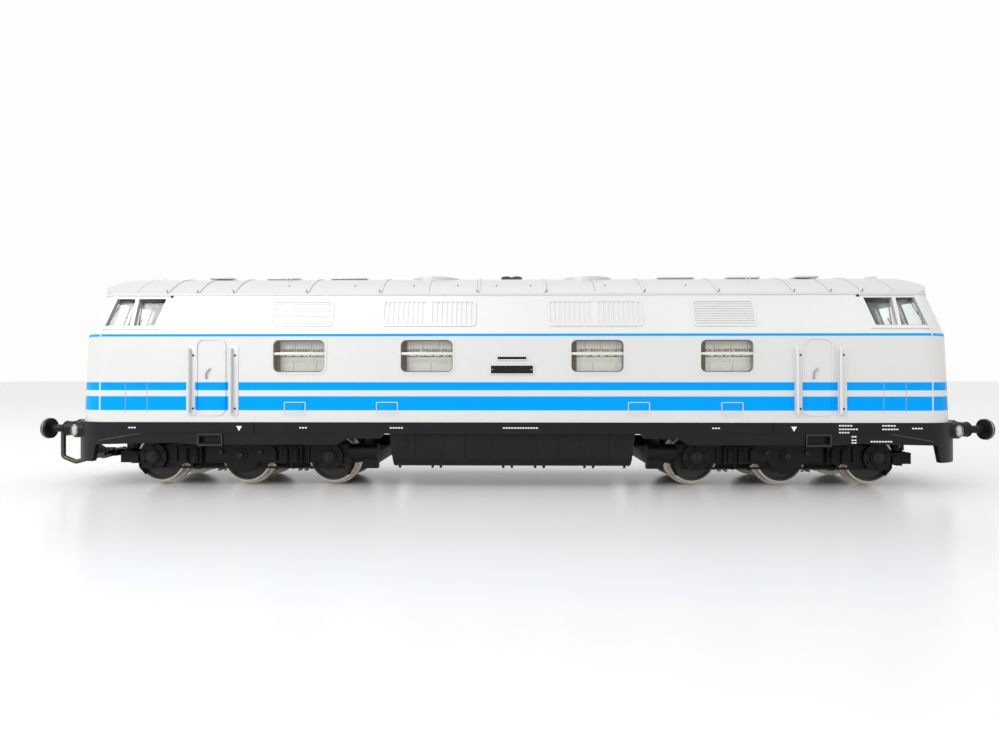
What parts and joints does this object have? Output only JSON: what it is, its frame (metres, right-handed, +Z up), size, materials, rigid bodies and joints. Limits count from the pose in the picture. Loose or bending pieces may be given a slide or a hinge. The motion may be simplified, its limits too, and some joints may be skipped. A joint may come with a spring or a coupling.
{
  "type": "model diesel locomotive",
  "caption": "Scale model of a long twin-cab diesel locomotive with swivelling six-wheel bogies, worm drive, rigid buffers and a hoop coupler at one end.",
  "frame": {"origin": "on the floor under the middle of the locomotive, where the wheel flanges rest", "axes": "+X along the locomotive away from the coupler end, +Y across it, +Z up"},
  "size_m": [0.2238, 0.037, 0.0511],
  "materials": {
    "silver_paint": "satin metallic silver-grey paint with printed azure stripes",
    "clear_plastic": "clear moulded plastic",
    "printed_card": "printed machinery picture",
    "exhaust_black": "matt dark grey",
    "plate_black": "blank black plate with a pale rim",
    "handrail_silver": "silver paint",
    "frame_black": "satin black moulding",
    "zinc_casting": "die-cast zinc, blackened",
    "motor_steel": "plated steel can",
    "circuit_green": "green solder mask",
    "component_brown": "dipped components",
    "screw_steel": "blackened steel",
    "cab_grey": "pale grey-green moulding",
    "shaft_steel": "bright ground steel",
    "flywheel_brass": "turned brass",
    "cardan_black": "black acetal",
    "bogie_black": "blackened casting",
    "side_frame_black": "satin black moulding",
    "bronze_strip": "phosphor bronze strip",
    "worm_brass": "cut brass",
    "gear_white": "cream acetal",
    "axle_steel": "ground steel",
    "wheel_nickel": "nickel-plated tread, black disc face",
    "coupler_black": "black moulding",
    "hoop_wire": "blackened steel wire"
  },
  "bodies": {
    "locomotive": {"body_shell": "silver_paint", "machine_room_windows": "clear_plastic", "machine_room_inserts": "printed_card", "exhaust_stack": "exhaust_black", "roof_fan_grilles": "silver_paint", "number_plates": "plate_black", "door_handrails": "handrail_silver", "lamp_lenses": "clear_plastic", "underframe": "frame_black", "buffers": "frame_black", "fuel_tank": "frame_black", "chassis_block": "zinc_casting", "motor_can": "motor_steel", "circuit_board": "circuit_green", "board_components": "component_brown", "body_screws": "screw_steel", "front_cab_glazing": "clear_plastic", "rear_cab_glazing": "clear_plastic", "front_cab_interior": "cab_grey", "rear_cab_interior": "cab_grey"},
    "armature": {"armature_shaft": "shaft_steel", "flywheels": "flywheel_brass", "cardan_shafts": "cardan_black"},
    "front_bogie": {"front_bogie_casting": "bogie_black", "front_gear_pins": "shaft_steel", "front_bogie_keeper": "bogie_black", "front_side_frames": "side_frame_black", "front_pickups": "bronze_strip"},
    "front_worm_shaft": {"front_worm": "worm_brass"},
    "front_worm_gear": {"front_worm_wheel": "gear_white"},
    "front_outer_idler_gear": {"front_outer_idler": "gear_white"},
    "front_outer_wheelset": {"front_outer_axle": "axle_steel", "front_outer_wheels": "wheel_nickel", "front_outer_axle_gear": "gear_white"},
    "front_inner_idler_gear": {"front_inner_idler": "gear_white"},
    "front_inner_wheelset": {"front_inner_axle": "axle_steel", "front_inner_wheels": "wheel_nickel", "front_inner_axle_gear": "gear_white"},
    "front_middle_wheelset": {"front_middle_axle": "axle_steel", "front_middle_wheels": "wheel_nickel"},
    "rear_bogie": {"rear_bogie_casting": "bogie_black", "rear_gear_pins": "shaft_steel", "rear_bogie_keeper": "bogie_black", "rear_side_frames": "side_frame_black", "rear_pickups": "bronze_strip"},
    "rear_worm_shaft": {"rear_worm": "worm_brass"},
    "rear_worm_gear": {"rear_worm_wheel": "gear_white"},
    "rear_outer_idler_gear": {"rear_outer_idler": "gear_white"},
    "rear_outer_wheelset": {"rear_outer_axle": "axle_steel", "rear_outer_wheels": "wheel_nickel", "rear_outer_axle_gear": "gear_white"},
    "rear_inner_idler_gear": {"rear_inner_idler": "gear_white"},
    "rear_inner_wheelset": {"rear_inner_axle": "axle_steel", "rear_inner_wheels": "wheel_nickel", "rear_inner_axle_gear": "gear_white"},
    "rear_middle_wheelset": {"rear_middle_axle": "axle_steel", "rear_middle_wheels": "wheel_nickel"},
    "coupler": {"coupler_shank": "coupler_black"},
    "hoop": {"coupler_hoop": "hoop_wire"}
  },
  "joints": [
    {"name": "motor_spin", "type": "hinge", "parent": "locomotive", "child": "armature", "pos_m": [0, 0, 0.02284], "axis": [1, 0, 0], "continuous": true},
    {"name": "front_bogie_swivel", "type": "hinge", "parent": "locomotive", "child": "front_bogie", "pos_m": [-0.0632, 0, 0.016], "axis": [0, 0, 1], "range_deg": [-8, 8]},
    {"name": "front_worm_spin", "type": "hinge", "parent": "front_bogie", "child": "front_worm_shaft", "pos_m": [-0.0632, 0, 0.02284], "axis": [1, 0, 0], "continuous": true},
    {"name": "front_worm_wheel_spin", "type": "hinge", "parent": "front_bogie", "child": "front_worm_gear", "pos_m": [-0.0632, 0, 0.01434], "axis": [0, 1, 0], "continuous": true},
    {"name": "front_outer_idler_spin", "type": "hinge", "parent": "front_bogie", "child": "front_outer_idler_gear", "pos_m": [-0.07355, 0, 0.00827], "axis": [0, 1, 0], "continuous": true},
    {"name": "front_outer_wheelset_spin", "type": "hinge", "parent": "front_bogie", "child": "front_outer_wheelset", "pos_m": [-0.0839, 0, 0.0065], "axis": [0, 1, 0], "continuous": true},
    {"name": "front_inner_idler_spin", "type": "hinge", "parent": "front_bogie", "child": "front_inner_idler_gear", "pos_m": [-0.05285, 0, 0.00827], "axis": [0, 1, 0], "continuous": true},
    {"name": "front_inner_wheelset_spin", "type": "hinge", "parent": "front_bogie", "child": "front_inner_wheelset", "pos_m": [-0.0425, 0, 0.0065], "axis": [0, 1, 0], "continuous": true},
    {"name": "front_middle_wheelset_spin", "type": "hinge", "parent": "front_bogie", "child": "front_middle_wheelset", "pos_m": [-0.0632, 0, 0.0065], "axis": [0, 1, 0], "continuous": true},
    {"name": "rear_bogie_swivel", "type": "hinge", "parent": "locomotive", "child": "rear_bogie", "pos_m": [0.0632, 0, 0.016], "axis": [0, 0, 1], "range_deg": [-8, 8]},
    {"name": "rear_worm_spin", "type": "hinge", "parent": "rear_bogie", "child": "rear_worm_shaft", "pos_m": [0.0632, 0, 0.02284], "axis": [1, 0, 0], "continuous": true},
    {"name": "rear_worm_wheel_spin", "type": "hinge", "parent": "rear_bogie", "child": "rear_worm_gear", "pos_m": [0.0632, 0, 0.01434], "axis": [0, 1, 0], "continuous": true},
    {"name": "rear_outer_idler_spin", "type": "hinge", "parent": "rear_bogie", "child": "rear_outer_idler_gear", "pos_m": [0.07355, 0, 0.00827], "axis": [0, 1, 0], "continuous": true},
    {"name": "rear_outer_wheelset_spin", "type": "hinge", "parent": "rear_bogie", "child": "rear_outer_wheelset", "pos_m": [0.0839, 0, 0.0065], "axis": [0, 1, 0], "continuous": true},
    {"name": "rear_inner_idler_spin", "type": "hinge", "parent": "rear_bogie", "child": "rear_inner_idler_gear", "pos_m": [0.05285, 0, 0.00827], "axis": [0, 1, 0], "continuous": true},
    {"name": "rear_inner_wheelset_spin", "type": "hinge", "parent": "rear_bogie", "child": "rear_inner_wheelset", "pos_m": [0.0425, 0, 0.0065], "axis": [0, 1, 0], "continuous": true},
    {"name": "rear_middle_wheelset_spin", "type": "hinge", "parent": "rear_bogie", "child": "rear_middle_wheelset", "pos_m": [0.0632, 0, 0.0065], "axis": [0, 1, 0], "continuous": true},
    {"name": "coupler_swing", "type": "hinge", "parent": "locomotive", "child": "coupler", "pos_m": [-0.0956, 0, 0.0067], "axis": [0, 0, 1], "range_deg": [-6, 6], "stiffness_Nm_per_rad": 0.0004},
    {"name": "hoop_lift", "type": "hinge", "parent": "coupler", "child": "hoop", "pos_m": [-0.1006, 0, 0.0067], "axis": [0, 1, 0], "range_deg": [0, 20]}
  ],
  "couplings": [
    {"joint": "front_worm_spin", "follows": "motor_spin", "ratio": 1},
    {"joint": "front_worm_wheel_spin", "follows": "motor_spin", "ratio": -0.041667},
    {"joint": "front_outer_idler_spin", "follows": "motor_spin", "ratio": 0.041667},
    {"joint": "front_outer_wheelset_spin", "follows": "motor_spin", "ratio": -0.055556},
    {"joint": "front_inner_idler_spin", "follows": "motor_spin", "ratio": 0.041667},
    {"joint": "front_inner_wheelset_spin", "follows": "motor_spin", "ratio": -0.055556},
    {"joint": "rear_worm_spin", "follows": "motor_spin", "ratio": 1},
    {"joint": "rear_worm_wheel_spin", "follows": "motor_spin", "ratio": -0.041667},
    {"joint": "rear_outer_idler_spin", "follows": "motor_spin", "ratio": 0.041667},
    {"joint": "rear_outer_wheelset_spin", "follows": "motor_spin", "ratio": -0.055556},
    {"joint": "rear_inner_idler_spin", "follows": "motor_spin", "ratio": 0.041667},
    {"joint": "rear_inner_wheelset_spin", "follows": "motor_spin", "ratio": -0.055556}
  ]
}
